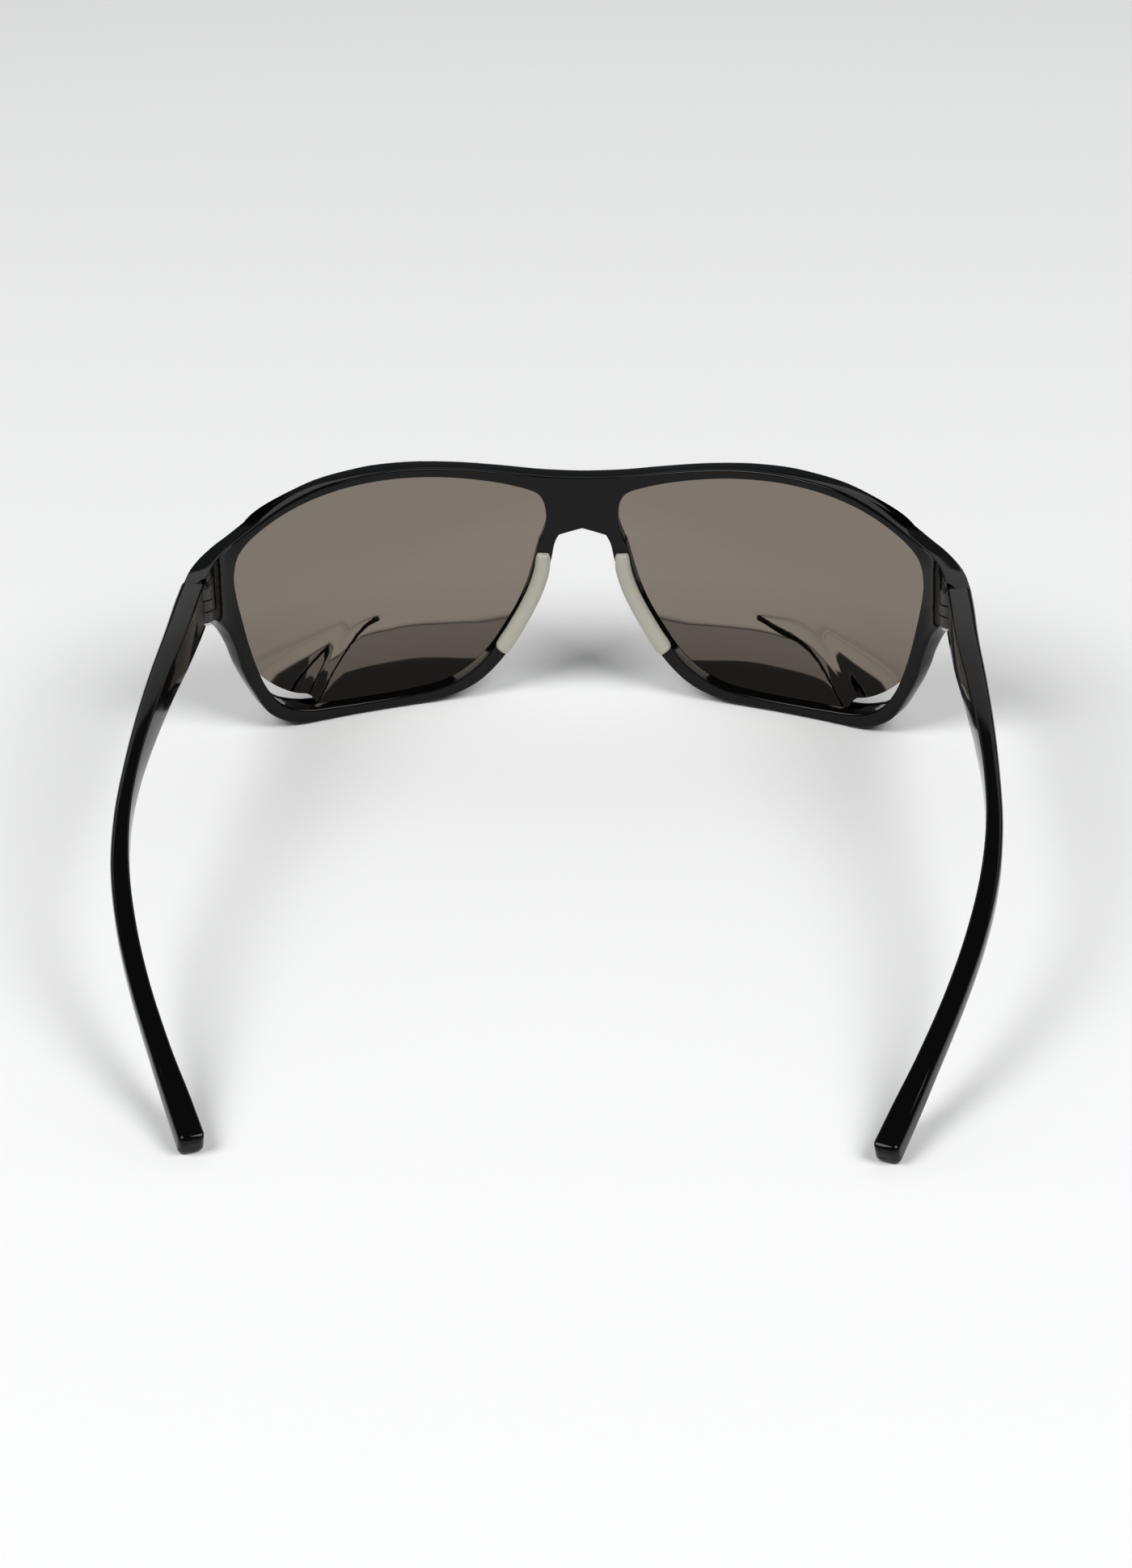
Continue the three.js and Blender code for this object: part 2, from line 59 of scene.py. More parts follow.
# ---- the front --------------------------------------------------------------
FRONT_DEPTH = 5.0
HINGE_DEPTH = 4.5
JOINT_LENGTH = 76.65
JOINT_GAP = 0.4
JOINT_TOP = 35.8
JOINT_BOTTOM = 26.9
JOINT_END = JOINT_LENGTH - JOINT_GAP / 2
LENS_DEPTH = 2.45
LENS_THICKNESS = 1.7
LENS_REACH = 0.9
LENS_MIDDLE = Vector((36, 25, 0))
LENS_DOME = 2.2
LENS_BEVEL = 0.16
LENS_STEPS_PER_STATION = 4
GROOVE_GAP = 0.25
GROOVE_REACH = 1.2
LIP_ROUND = 0.3
REAR_ROUND = 0.65
FOREMOST_ROUND = 1.1
JOINT_ROUND = 0.3
REAR_ROUND_SHARE = 0.3
FOREMOST_ROUND_SHARE = 0.45
JOINT_BLEND = 0.7
ROUND_STEPS = 4
FACE_ROWS = 5
STEPS_PER_STATION = 6

# Stations round one half of the front: the lens opening, the outline opposite it, the share of the
# lens groove there and how much lower the outline is in front than at the rear. The bridge's
# stations run past the middle, where the half is cut before it is mirrored.
STATIONS = [
    ((7.8, 30.6), (-1.8, 33.45), 1, 0),
    ((6.7, 34.0), (-6.0, 35.0), 1, 0),
    ((6.8, 37.3), (-6.0, 41.0), 1, 0.3),
    ((7.4, 39.1), (-3.5, 43.5), 1, 0.6),
    ((8.4, 40.3), (0.0, 43.4), 1, 0.6),
    ((13.0, 42.1), (7.0, 43.8), 1, 0.6),
    ((18.1, 43.4), (14.5, 45.0), 1, 0.6),
    ((25.2, 44.7), (23.0, 46.4), 1, 0.6),
    ((32.5, 45.4), (31.5, 47.3), 1, 0.6),
    ((39.8, 45.4), (40.5, 47.1), 1, 0.5),
    ((46.8, 44.6), (48.5, 46.1), 1, 0.4),
    ((53.5, 42.9), (56.0, 43.6), 1, 0.5),
    ((58.8, 40.7), (63.0, 40.2), 1, 1.1),
    ((63.3, 37.9), (69.5, 37.4), 1, 1.7),
    ((65.4, 35.4), (JOINT_END, JOINT_TOP), 1, 1.8),
    ((66.3, 31.5), (JOINT_END, 31.5), 1, 0.7),
    ((66.1, 28.5), (JOINT_END, JOINT_BOTTOM), 1, 0),
    ((65.7, 26.0), (71.8, 25.3), 1, 0),
    ((65.0, 22.5), (68.4, 21.8), 1, 0),
    ((64.0, 18.0), (66.6, 17.6), 1, 0),
    ((62.5, 13.0), (65.2, 12.4), 1, 0),
    ((60.6, 8.6), (63.0, 8.0), 0.2, 0),
    ((57.6, 4.9), (59.9, 3.4), 0.15, 0),
    ((53.0, 2.9), (54.8, 0.6), 0.15, 0),
    ((47.0, 2.3), (48.2, 0.0), 1, 0),
    ((40.0, 2.1), (41.0, 0.0), 1, 0),
    ((32.5, 2.3), (33.0, 0.2), 1, 0),
    ((25.8, 3.3), (25.8, 0.8), 1, 0),
    ((21.4, 5.5), (20.0, 3.0), 1, 0),
    ((17.6, 8.9), (15.4, 7.0), 1, 0),
    ((14.6, 13.2), (12.0, 11.9), 1, 0),
    ((12.1, 17.5), (9.4, 16.5), 1, 0),
    ((10.3, 21.9), (7.5, 21.2), 1, 0),
    ((9.0, 26.5), (5.9, 26.0), 1, 0),
    ((8.55, 28.4), (5.0, 30.0), 1, 0),
    ((8.35, 29.1), (3.6, 32.3), 1, 0),
    ((8.2, 29.7), (1.8, 33.45), 1, 0),
    ((8.05, 30.1), (0.0, 33.6), 1, 0),
]
JOINT_FIRST = 14
JOINT_LAST = 16

# Between these two places the lens leaves the rim and follows the vent's edge. The first points are
# on one curve and the rest are corners.
VENT_FIRST = 20
VENT_LAST = 23.9
VENT_EDGE = [
    (62.6, 12.4), (61.4, 10.8), (59.6, 8.9), (57.2, 7.0), (54.4, 5.4), (51.8, 4.6),
    (51.0, 4.0), (50.3, 2.9), (49.4, 2.1),
]
VENT_CURVED = 6

# ---- nose pads --------------------------------------------------------------
PAD_LINE = [(7.3, 27.9), (7.6, 24.6), (8.8, 20.8), (10.5, 17.2), (12.5, 13.7), (14.7, 10.3), (15.5, 9.2)]
PAD_HALF_WIDTH = 1.45
PAD_HALF_DEPTH = 1.45
PAD_GAP = 0.08
PAD_END_SHARE = 0.6
PAD_END_POWER = 10
PAD_SQUARENESS = 0.8
PAD_SIDES = 24
PAD_STEPS = 40

# ---- arms: distance back, outer edge, top edge, width and height ---------------
ARM_STATIONS = [
    (28.6, 70.9, 35.8, 4.4, 8.9), (34, 71.2, 35.7, 4.4, 8.8), (46, 71.7, 35.2, 4.2, 7.8),
    (58, 72.7, 33.8, 3.7, 7.1), (70, 73.6, 31.7, 3.2, 6.3), (82, 74.2, 29.1, 2.8, 5.3),
    (94, 74.4, 26.1, 2.9, 4.4), (106, 73.5, 22.8, 3.2, 3.9), (118, 71.1, 19.0, 3.3, 3.6),
    (130, 67.5, 14.9, 3.3, 3.5), (142, 63.0, 10.2, 3.5, 3.7), (151, 59.4, 6.2, 4.1, 3.9),
    (158, 56.6, 3.52, 4.3, 4.0),
]
ARM_STEPS = 150
ARM_START_SHARE = 0.08
ARM_TOP_OUTER_ROUND = 1.1
ARM_TOP_INNER_ROUND = 0.45
ARM_LOWER_ROUND = 0.8
ARM_END_ROUND = 0.3
TIP_ROUND = 1.3

# ---- hinge ------------------------------------------------------------------
AXIS_DEPTH = 0.4
LEAF_THICKNESS = 1.0
LEAF_GAP = 0.3
FRONT_LEAF_END = 4.6
ARM_LEAF_END = 8.6
ARM_LEAF_TURN = math.radians(8)
KNUCKLE_HEIGHT = 1.95
KNUCKLE_GAP = 0.3
KNUCKLE_ROOM = 2.1
CORNER_RELIEF = 0.9
STACK_HALF = KNUCKLE_HEIGHT * 1.5 + KNUCKLE_GAP
UPRIGHT_SIDES = 48

# ---- the studio, in metres, watts and radians --------------------------------
CAMERA_TARGET = Vector((0.0003, -0.01672, 0.01261))
CAMERA_DISTANCE = 0.7649
CAMERA_ELEVATION = math.radians(29.42)
CAMERA_YAW = math.radians(-3.5)
CAMERA_ROLL = math.radians(-1.2)
CAMERA_LENS = 100.2
SENSOR = 36.0
FLOOR_SIZE = 8
WORLD_COLOUR = (0.9, 0.95, 1.0, 1)
WORLD_LIGHT = 0.08
SOFTBOX_POWER = 14.5
PANEL_POWER = 10.0
ROOM_POWER = 5.5

# ---- small steps ---------------------------------------------------------------
TANGENT_STEP = 0.05
MERGE_DISTANCE = 1e-6
SMALLEST_GAP = 1e-4
PARALLEL = 1e-9


# ---- curves -----------------------------------------------------------------
def between(start, end, share):
    return start + (end - start) * share


def smooth_step(value, low, high):
    share = min(max((value - low) / (high - low), 0), 1)
    return share * share * (3 - 2 * share)


def curve_through(points, closed=False):
    """A smooth line through the points; place 0 is the first point, 1 the second and so on."""
    points = [Vector(p) for p in points]
    count = len(points)

    def nearby(i):
        if closed:
            return points[i % count]
        if i < 0:
            return points[0] * 2 - points[1]
        if i >= count:
            return points[-1] * 2 - points[-2]
        return points[i]

    def at(place):
        first = math.floor(place)
        if not closed:
            first = min(max(first, 0), count - 2)
        share = place - first
        p0, p1, p2, p3 = (nearby(first + k) for k in (-1, 0, 1, 2))
        gaps = [math.sqrt(max((b - a).length, SMALLEST_GAP)) for a, b in ((p0, p1), (p1, p2), (p2, p3))]
        way1 = ((p1 - p0) / gaps[0] - (p2 - p0) / (gaps[0] + gaps[1]) + (p2 - p1) / gaps[1]) * gaps[1]
        way2 = ((p2 - p1) / gaps[1] - (p3 - p1) / (gaps[1] + gaps[2]) + (p3 - p2) / gaps[2]) * gaps[1]
        square, cube = share ** 2, share ** 3
        return (p1 + way1 * share + (p2 * 3 - p1 * 3 - way1 * 2 - way2) * square
                + (p1 * 2 - p2 * 2 + way1 + way2) * cube)

    return at


def wrap_point(length, height, depth):
    """Takes a point of the rolled-out front, in millimetres, to its real place in metres."""
    arc = abs(length)
    start_angle = WRAP_ARC / WRAP_RADIUS
    bend_arc = CORNER_RADIUS * (HINGE_ANGLE - start_angle)
    rim = min(arc, WRAP_ARC)
    bend = min(max(arc - WRAP_ARC, 0), bend_arc)
    straight = max(arc - WRAP_ARC - bend_arc, 0)
    rim_angle = rim / WRAP_RADIUS
    angle = rim_angle + bend / CORNER_RADIUS
    x = (WRAP_RADIUS * math.sin(rim_angle) + CORNER_RADIUS * (math.sin(angle) - math.sin(rim_angle))
         + straight * math.cos(angle))
    y = (WRAP_RADIUS * (1 - math.cos(rim_angle))
         + CORNER_RADIUS * (math.cos(rim_angle) - math.cos(angle)) + straight * math.sin(angle))
    above = height - LEAN_HEIGHT
    lean = above ** 2 / (2 * UPRIGHT_RADIUS) - above * math.tan(LEAN)
    side = 1 if length >= 0 else -1
    return Vector((
        side * (x + depth * math.sin(angle)),
        y - depth * math.cos(angle) + lean - ORIGIN_Y,
        height,
    )) * MM


# ---- working by hand in code ----------------------------------------------------
def deselect():
    if bpy.context.mode != "OBJECT":
        bpy.ops.object.mode_set(mode="OBJECT")
    bpy.ops.object.select_all(action="DESELECT")


def pick(obj):
    deselect()
    obj.select_set(True)
    bpy.context.view_layer.objects.active = obj


def apply_modifier(obj, kind, **settings):
    pick(obj)
    modifier = obj.modifiers.new(kind.title(), kind)
    for key, value in settings.items():
        setattr(modifier, key, value)
    bpy.ops.object.modifier_apply(modifier=modifier.name)


def ring_of(name, points):
    """A closed line of points in edit mode, numbered so that it can be extruded ring by ring."""
    deselect()
    bpy.ops.mesh.primitive_circle_add(vertices=len(points), radius=1)
    ring = bpy.context.object
    ring.name = name
    bpy.ops.object.mode_set(mode="EDIT")
    mesh = bmesh.from_edit_mesh(ring.data)
    number = mesh.verts.layers.int.new("number")
    for i, vertex in enumerate(mesh.verts):
        vertex[number] = i
        vertex.co = points[i]
    bmesh.update_edit_mesh(ring.data)
    bpy.ops.mesh.select_all(action="SELECT")
    return ring


def extrude_ring(ring, points):
    bpy.ops.mesh.extrude_region_move()
    mesh = bmesh.from_edit_mesh(ring.data)
    number = mesh.verts.layers.int["number"]
    for vertex in mesh.verts:
        if vertex.select:
            vertex.co = points[vertex[number]]
    bmesh.update_edit_mesh(ring.data)


def turn_outwards(obj):
    """Turns the faces of a closed piece in edit mode outwards."""
    bpy.ops.mesh.normals_make_consistent(inside=False)
    if bmesh.from_edit_mesh(obj.data).calc_volume(signed=True) < 0:
        bpy.ops.mesh.flip_normals()


def finish_mesh(obj, smooth_angle=40):
    """Merges doubles, turns the faces outwards and shades the piece."""
    pick(obj)
    bpy.ops.object.mode_set(mode="EDIT")
    bpy.ops.mesh.select_all(action="SELECT")
    bpy.ops.mesh.remove_doubles(threshold=MERGE_DISTANCE)
    turn_outwards(obj)
    bpy.ops.object.mode_set(mode="OBJECT")
    bpy.ops.object.shade_smooth_by_angle(angle=math.radians(smooth_angle))
    if "number" in obj.data.attributes:
        obj.data.attributes.remove(obj.data.attributes["number"])


def wrap(obj):
    """Wraps a piece that was modelled flat in millimetres."""
    for vertex in obj.data.vertices:
        vertex.co = wrap_point(vertex.co.x, vertex.co.z, -vertex.co.y)


def mirror_copy(obj, name):
    """The other side's copy of a piece, with its own mesh."""
    pick(obj)
    bpy.ops.object.duplicate()
    copy = bpy.context.object
    copy.name = name
    copy.data.transform(Matrix.Scale(-1, 4, (1, 0, 0)))
    pick(copy)
    bpy.ops.object.mode_set(mode="EDIT")
    bpy.ops.mesh.select_all(action="SELECT")
    turn_outwards(copy)
    bpy.ops.object.mode_set(mode="OBJECT")
    return copy


# ---- the front ----------------------------------------------------------------
opening_line = curve_through([(*inner, 0) for inner, *_ in STATIONS], closed=True)
COUNT = len(STATIONS)
loose_outline = [(*outer, 0) for _, outer, *_ in STATIONS]
after_joint = curve_through(loose_outline[JOINT_LAST:] + loose_outline[:JOINT_FIRST + 1])
joint_line = curve_through(loose_outline[JOINT_FIRST:JOINT_LAST + 1])


def outline(place):
    """The outline's point: smooth all round, with corners only at the joint."""
    if JOINT_FIRST <= place < JOINT_LAST:
        return joint_line(place - JOINT_FIRST)
    point = after_joint((place - JOINT_LAST) % COUNT)
    point.y = max(point.y, 0)
    return point


def station_value(place, index):
    first = math.floor(place)
    low = STATIONS[first % COUNT][index]
    high = STATIONS[(first + 1) % COUNT][index]
    return between(low, high, place - first)


def joint_share(place):
    """1 on the joint's end face, falling to 0 just past its corners."""
    before = smooth_step(place, JOINT_FIRST - JOINT_BLEND, JOINT_FIRST)
    after = 1 - smooth_step(place, JOINT_LAST, JOINT_LAST + JOINT_BLEND)
    return before * after


def front_profile(place):
    """One section of the front as (reach, depth) pairs, from the opening's rear lip and round."""
    width = (outline(place) - opening_line(place)).length
    depth = between(FRONT_DEPTH, HINGE_DEPTH, smooth_step(outline(place).x, WRAP_ARC, JOINT_LENGTH))
    share = joint_share(place)
    rear = min(between(REAR_ROUND, JOINT_ROUND, share), width * REAR_ROUND_SHARE)
    fore = min(between(FOREMOST_ROUND, JOINT_ROUND, share), width * FOREMOST_ROUND_SHARE)
    groove = GROOVE_REACH * station_value(place, 2)
    groove_rear = LENS_DEPTH - GROOVE_GAP
    groove_front = LENS_DEPTH + LENS_THICKNESS + GROOVE_GAP
    turns = [math.pi / 2 * i / ROUND_STEPS for i in range(ROUND_STEPS + 1)]
    profile = [(LIP_ROUND * (1 - math.cos(t)), LIP_ROUND * (1 - math.sin(t))) for t in turns]
    for row in range(1, FACE_ROWS):
        profile.append((between(LIP_ROUND, width - rear, row / FACE_ROWS), 0))
    profile += [(width - rear * (1 - math.sin(t)), rear * (1 - math.cos(t))) for t in turns]
    profile.append((width, (rear + depth - fore) / 2))
    profile += [(width - fore * (1 - math.cos(t)), depth - fore * (1 - math.sin(t))) for t in turns]
    for row in range(1, FACE_ROWS):
        profile.append((between(width - fore, LIP_ROUND, row / FACE_ROWS), depth))
    profile.append((LIP_ROUND / 2, depth))
    profile.append((0, depth - LIP_ROUND / 2))
    profile += [(0, groove_front), (groove, groove_front), (groove, groove_rear), (0, groove_rear)]
    return profile, width, depth


def front_section(place):
    profile, width, depth = front_profile(place)
    inner = opening_line(place)
    way = (outline(place) - inner).normalized()
    drop = station_value(place, 3)
    points = []
    for reach, level in profile:
        point = inner + way * reach
        beyond = min(max((reach - GROOVE_REACH) / (width - GROOVE_REACH), 0), 1)
        points.append(Vector((point.x, -level, point.y - drop * level / depth * beyond)))
    return points


def make_front():
    """The left half of the front, wrapped, with its cut face open for the mirror."""
    steps = COUNT * STEPS_PER_STATION
    sections = [front_section(i / STEPS_PER_STATION) for i in range(steps)]
    rings = [list(ring) for ring in zip(*sections)]
    front = ring_of("front_shell", rings[0])
    for ring in rings[1:] + rings[:1]:
        extrude_ring(front, ring)
    finish_mesh(front)
    bpy.ops.object.mode_set(mode="EDIT")
    bpy.ops.mesh.select_all(action="SELECT")
    bpy.ops.mesh.bisect(plane_co=(0, 0, 0), plane_no=(1, 0, 0), clear_inner=True)
    bpy.ops.object.mode_set(mode="OBJECT")
    wrap(front)
    return front


def cut(obj, cutter):
    apply_modifier(obj, "BOOLEAN", operation="DIFFERENCE", solver="EXACT", object=cutter)
    bpy.data.objects.remove(cutter)


# ---- lenses ---------------------------------------------------------------------
def lens_edge():
    """The lens's outline: just inside the groove, and along the vent's edge where there is no groove."""
    edge = []
    for i in range(COUNT * LENS_STEPS_PER_STATION):
        place = i / LENS_STEPS_PER_STATION
        if VENT_FIRST < place < VENT_LAST:
            continue
        inner = opening_line(place)
        way = (outline(place) - inner).normalized()
        edge.append((place, inner + way * LENS_REACH))
    vent = curve_through([(*p, 0) for p in VENT_EDGE[:VENT_CURVED]])
    points = [vent(i / LENS_STEPS_PER_STATION) for i in range((VENT_CURVED - 1) * LENS_STEPS_PER_STATION + 1)]
    points += [Vector((*p, 0)) for p in VENT_EDGE[VENT_CURVED:]]
    for i, point in enumerate(points):
        edge.append((between(VENT_FIRST, VENT_LAST, (i + 1) / (len(points) + 1)), point))
    edge.sort(key=lambda pair: pair[0])
    points = [point for _, point in edge]
    return points[:len(points) - len(points) % 4]


def lens_dome(point, edge):
    """How far the lens bulges forwards there: nothing at its edge, the most in its middle."""
    out = point - LENS_MIDDLE
    share = 0.0
    for one, two in zip(edge, edge[1:] + edge[:1]):
        start, way = one - LENS_MIDDLE, two - one
        cross = out.x * way.y - out.y * way.x
        if abs(cross) < PARALLEL:
            continue
        reach = (start.x * way.y - start.y * way.x) / cross
        place = (start.x * out.y - start.y * out.x) / cross
        if reach > 0 and -MERGE_DISTANCE <= place <= 1 + MERGE_DISTANCE:
            share = max(share, 1 / reach)
    return LENS_DOME * (1 - min(share, 1) ** 2)


def make_lens():
    line = lens_edge()
    edge = [Vector((p.x, -LENS_DEPTH, p.y)) for p in line]
    lens = ring_of("left_lens_shell", edge)
    bpy.ops.mesh.fill_grid(span=len(edge) // 4)
    bpy.ops.mesh.select_all(action="SELECT")
    bpy.ops.mesh.extrude_region_move(TRANSFORM_OT_translate={"value": (0, -LENS_THICKNESS, 0)})
    bpy.ops.object.mode_set(mode="OBJECT")
    apply_modifier(lens, "BEVEL", width=LENS_BEVEL, segments=2,
                   limit_method="ANGLE", angle_limit=math.radians(50))
    for vertex in lens.data.vertices:
        vertex.co.y -= lens_dome(Vector((vertex.co.x, vertex.co.z, 0)), line)
    wrap(lens)
    finish_mesh(lens, 35)
    return lens


# ---- nose pads --------------------------------------------------------------------
def pad_rings(grow):
    """The pad's sections from its upper to its lower end, all of them larger by grow."""
    line = curve_through([(*p, 0) for p in PAD_LINE])
    rings = []
    for step in range(PAD_STEPS + 1):
        along = 0.5 - 0.5 * math.cos(math.pi * step / PAD_STEPS)
        place = along * (len(PAD_LINE) - 1)
        middle = line(place)
        after, before = min(place + TANGENT_STEP, len(PAD_LINE) - 1), max(place - TANGENT_STEP, 0)
        ahead = (line(after) - line(before)).normalized()
        closing = math.sqrt(max(0, 1 - abs(2 * along - 1) ** PAD_END_POWER))
        taper = between(PAD_END_SHARE, 1, closing)
        stretch = grow * (2 * along - 1)
        ring = []
        for i in range(PAD_SIDES):
            angle = 2 * math.pi * i / PAD_SIDES
            across = math.copysign(abs(math.cos(angle)) ** PAD_SQUARENESS, math.cos(angle))
            up = math.copysign(abs(math.sin(angle)) ** PAD_SQUARENESS, math.sin(angle))
            width = (PAD_HALF_WIDTH * taper + grow) * across
            depth = (PAD_HALF_DEPTH * taper + grow) * up
            ring.append(Vector((
                middle.x + ahead.y * width + ahead.x * stretch,
                -depth,
                middle.y - ahead.x * width + ahead.y * stretch,
            )))
        rings.append(ring)
    return rings


def make_pad(name, grow=0.0):
    rings = pad_rings(grow)
    pad = ring_of(name, rings[0])
    bpy.ops.mesh.edge_face_add()
    for ring in rings[1:]:
        extrude_ring(pad, ring)
    finish_mesh(pad, 60)
    wrap(pad)
    return pad


# ---- hinge --------------------------------------------------------------------------
hinge_middle = (JOINT_TOP + JOINT_BOTTOM) / 2
hinge_place = Matrix.Translation(wrap_point(JOINT_LENGTH, hinge_middle, AXIS_DEPTH)) @ Matrix.Rotation(
    HINGE_ANGLE, 4, "Z")


def hinge_block(x_range, y_range, z_range):
    """A box in the hinge's own frame, in millimetres: X along the joint, Y inwards, Z up."""
    deselect()
    low = Vector((x_range[0], y_range[0], z_range[0]))
    high = Vector((x_range[1], y_range[1], z_range[1]))
    bpy.ops.mesh.primitive_cube_add(size=1)
    box = bpy.context.object
    for vertex in box.data.vertices:
        vertex.co = Vector(between(low[k], high[k], vertex.co[k] + 0.5) * MM for k in range(3))
    return box


def hinge_upright(radius, bottom, top):
    """A cylinder round the hinge's axis, in the hinge's own frame."""
    deselect()
    bpy.ops.mesh.primitive_cylinder_add(vertices=UPRIGHT_SIDES, radius=radius * MM, depth=(top - bottom) * MM)
    post = bpy.context.object
    post.data.transform(Matrix.Translation((0, 0, (top + bottom) / 2 * MM)))
    return post


def hinge_room(side, leaf_end, turn):
    """The room that a leaf and the knuckles need in the front or in the arm, as cutters."""
    height = STACK_HALF + LEAF_GAP
    along = (0, leaf_end + LEAF_GAP) if side > 0 else (-leaf_end - LEAF_GAP, 0)
    pocket = hinge_block(along, (AXIS_DEPTH - LEAF_THICKNESS - LEAF_GAP, FRONT_DEPTH), (-height, height))
    pocket.data.transform(Matrix.Rotation(turn, 4, "Z"))
    barrel = hinge_upright(KNUCKLE_ROOM, -FRONT_DEPTH * 2, height)
    relief = hinge_upright(CORNER_RELIEF, -FRONT_DEPTH * 2, FRONT_DEPTH * 2)
    for cutter in (pocket, barrel, relief):
        cutter.data.transform(hinge_place)
    return pocket, barrel, relief


# ---- arms -----------------------------------------------------------------------------
def arm_section(width, height):
    """A rounded rectangle as (outwards, up) pairs, each edge with its own radius."""
    corners = (
        (1, 1, ARM_TOP_OUTER_ROUND), (-1, 1, ARM_TOP_INNER_ROUND),
        (-1, -1, ARM_LOWER_ROUND), (1, -1, ARM_LOWER_ROUND),
    )
    points = []
    for index, (side, level, radius) in enumerate(corners):
        for step in range(ROUND_STEPS + 2):
            turn = math.pi / 2 * (index + step / (ROUND_STEPS + 1))
            points.append((
                side * (width / 2 - radius) + radius * math.cos(turn),
                level * (height / 2 - radius) + radius * math.sin(turn),
            ))
    return points


def make_arm():
    """The left arm: it starts square to the joint and turns into the line of its stations."""
    line = curve_through([(outer - width / 2, y, top - height / 2)
                          for y, outer, top, width, height in ARM_STATIONS])
    size = curve_through([(width, height, 0) for *_, width, height in ARM_STATIONS])
    last = len(ARM_STATIONS) - 1
    start_way = Vector((math.cos(HINGE_ANGLE), math.sin(HINGE_ANGLE), 0))
    rings = []
    places = [last * (0.5 - 0.5 * math.cos(math.pi * i / ARM_STEPS)) for i in range(ARM_STEPS + 1)]
    middles = [line(place) for place in places]
    lengths = [0.0]
    for one, two in zip(middles, middles[1:]):
        lengths.append(lengths[-1] + (two - one).length)
    whole = lengths[-1]
    for place, middle, done in zip(places, middles, lengths):
        tangent = (line(min(place + TANGENT_STEP, last)) - line(max(place - TANGENT_STEP, 0))).normalized()
        turn = smooth_step(done / whole, 0, ARM_START_SHARE)
        way = start_way.lerp(tangent, turn).normalized()
        outward = way.cross(Vector((0, 0, 1))).normalized()
        above = outward.cross(way).normalized()
        dims = size(place)
        scales = []
        left = whole - done
        if left < TIP_ROUND:
            scales.append(math.sqrt(max(0, 1 - (1 - left / TIP_ROUND) ** 2)))
        if done < ARM_END_ROUND:
            scales.append(math.sqrt(max(0, 1 - (1 - done / ARM_END_ROUND) ** 2)))
        inset = (1 - min(scales + [1])) * (TIP_ROUND if left < TIP_ROUND else ARM_END_ROUND)
        ring = []
        for across, up in arm_section(dims.x, dims.y):
            shrink_x = 1 - 2 * inset / dims.x
            shrink_y = 1 - 2 * inset / dims.y
            ring.append((middle + outward * across * shrink_x + above * up * shrink_y) * MM)
        rings.append([point - Vector((0, ORIGIN_Y * MM, 0)) for point in ring])
    arm = ring_of("left_temple_shell", rings[0])
    bpy.ops.mesh.edge_face_add()
    for ring in rings[1:]:
        extrude_ring(arm, ring)
    finish_mesh(arm)
    return arm


# ---- materials --------------------------------------------------------------------------
def new_material(name, base, roughness, **sockets):
    material = bpy.data.materials.new(name)
    material.use_nodes = True
    shader = material.node_tree.nodes["Principled BSDF"]
    shader.inputs["Base Color"].default_value = (*base, 1)
    shader.inputs["Roughness"].default_value = roughness
    for key, value in sockets.items():
        shader.inputs[key.replace("_", " ")].default_value = value
    return material, material.node_tree, shader


def noise(tree, scale, detail=3.0):
    place = tree.nodes.new("ShaderNodeTexCoord")
    texture = tree.nodes.new("ShaderNodeTexNoise")
    texture.inputs["Scale"].default_value = scale
    texture.inputs["Detail"].default_value = detail
    tree.links.new(place.outputs["Object"], texture.inputs["Vector"])
    return texture.outputs["Fac"]


def ranged(tree, value, low, high, from_low=0.3, from_high=0.7):
    """Spreads a value between two limits; the usual input is noise, which keeps to its middle."""
    node = tree.nodes.new("ShaderNodeMapRange")
    node.inputs["From Min"].default_value = from_low
    node.inputs["From Max"].default_value = from_high
    node.inputs["To Min"].default_value = low
    node.inputs["To Max"].default_value = high
    tree.links.new(value, node.inputs["Value"])
    return node.outputs["Result"]


def bumped(tree, shader, height, strength, distance):
    node = tree.nodes.new("ShaderNodeBump")
    node.inputs["Strength"].default_value = strength
    node.inputs["Distance"].default_value = distance
    tree.links.new(height, node.inputs["Height"])
    tree.links.new(node.outputs["Normal"], shader.inputs["Normal"])


def gloss_black():
    material, tree, shader = new_material("gloss_black_nylon", (0.0016, 0.0016, 0.0017), 0.06,
                                          Specular_IOR_Level=0.2)
    tree.links.new(ranged(tree, noise(tree, 350, 4), 0.045, 0.1), shader.inputs["Roughness"])
    bumped(tree, shader, noise(tree, 60, 2), 0.04, 0.0004)
    return material


def lens_coat():
    """A warm mirror coat whose colour darkens towards the lens's lower edge."""
    material, tree, shader = new_material("mirror_coated_lens", (0.24, 0.205, 0.175), 0.03, Metallic=1.0)
    place = tree.nodes.new("ShaderNodeTexCoord")
    split = tree.nodes.new("ShaderNodeSeparateXYZ")
    tree.links.new(place.outputs["Object"], split.inputs["Vector"])
    coat = tree.nodes.new("ShaderNodeMix")
    coat.data_type = "RGBA"
    coat.inputs[6].default_value = (0.17, 0.143, 0.118, 1)
    coat.inputs[7].default_value = (0.245, 0.21, 0.178, 1)
    tree.links.new(ranged(tree, split.outputs["Z"], 0, 1, 0.005, 0.023), coat.inputs[0])
    tree.links.new(coat.outputs[2], shader.inputs["Base Color"])
    tree.links.new(ranged(tree, noise(tree, 40, 4), 0.015, 0.05), shader.inputs["Roughness"])
    return material


def pad_rubber():
    material, tree, shader = new_material("soft_pad_rubber", (0.42, 0.41, 0.345), 0.38,
                                          Subsurface_Weight=0.3, Subsurface_Scale=0.001)
    bumped(tree, shader, noise(tree, 900, 3), 0.1, 0.0002)
    return material


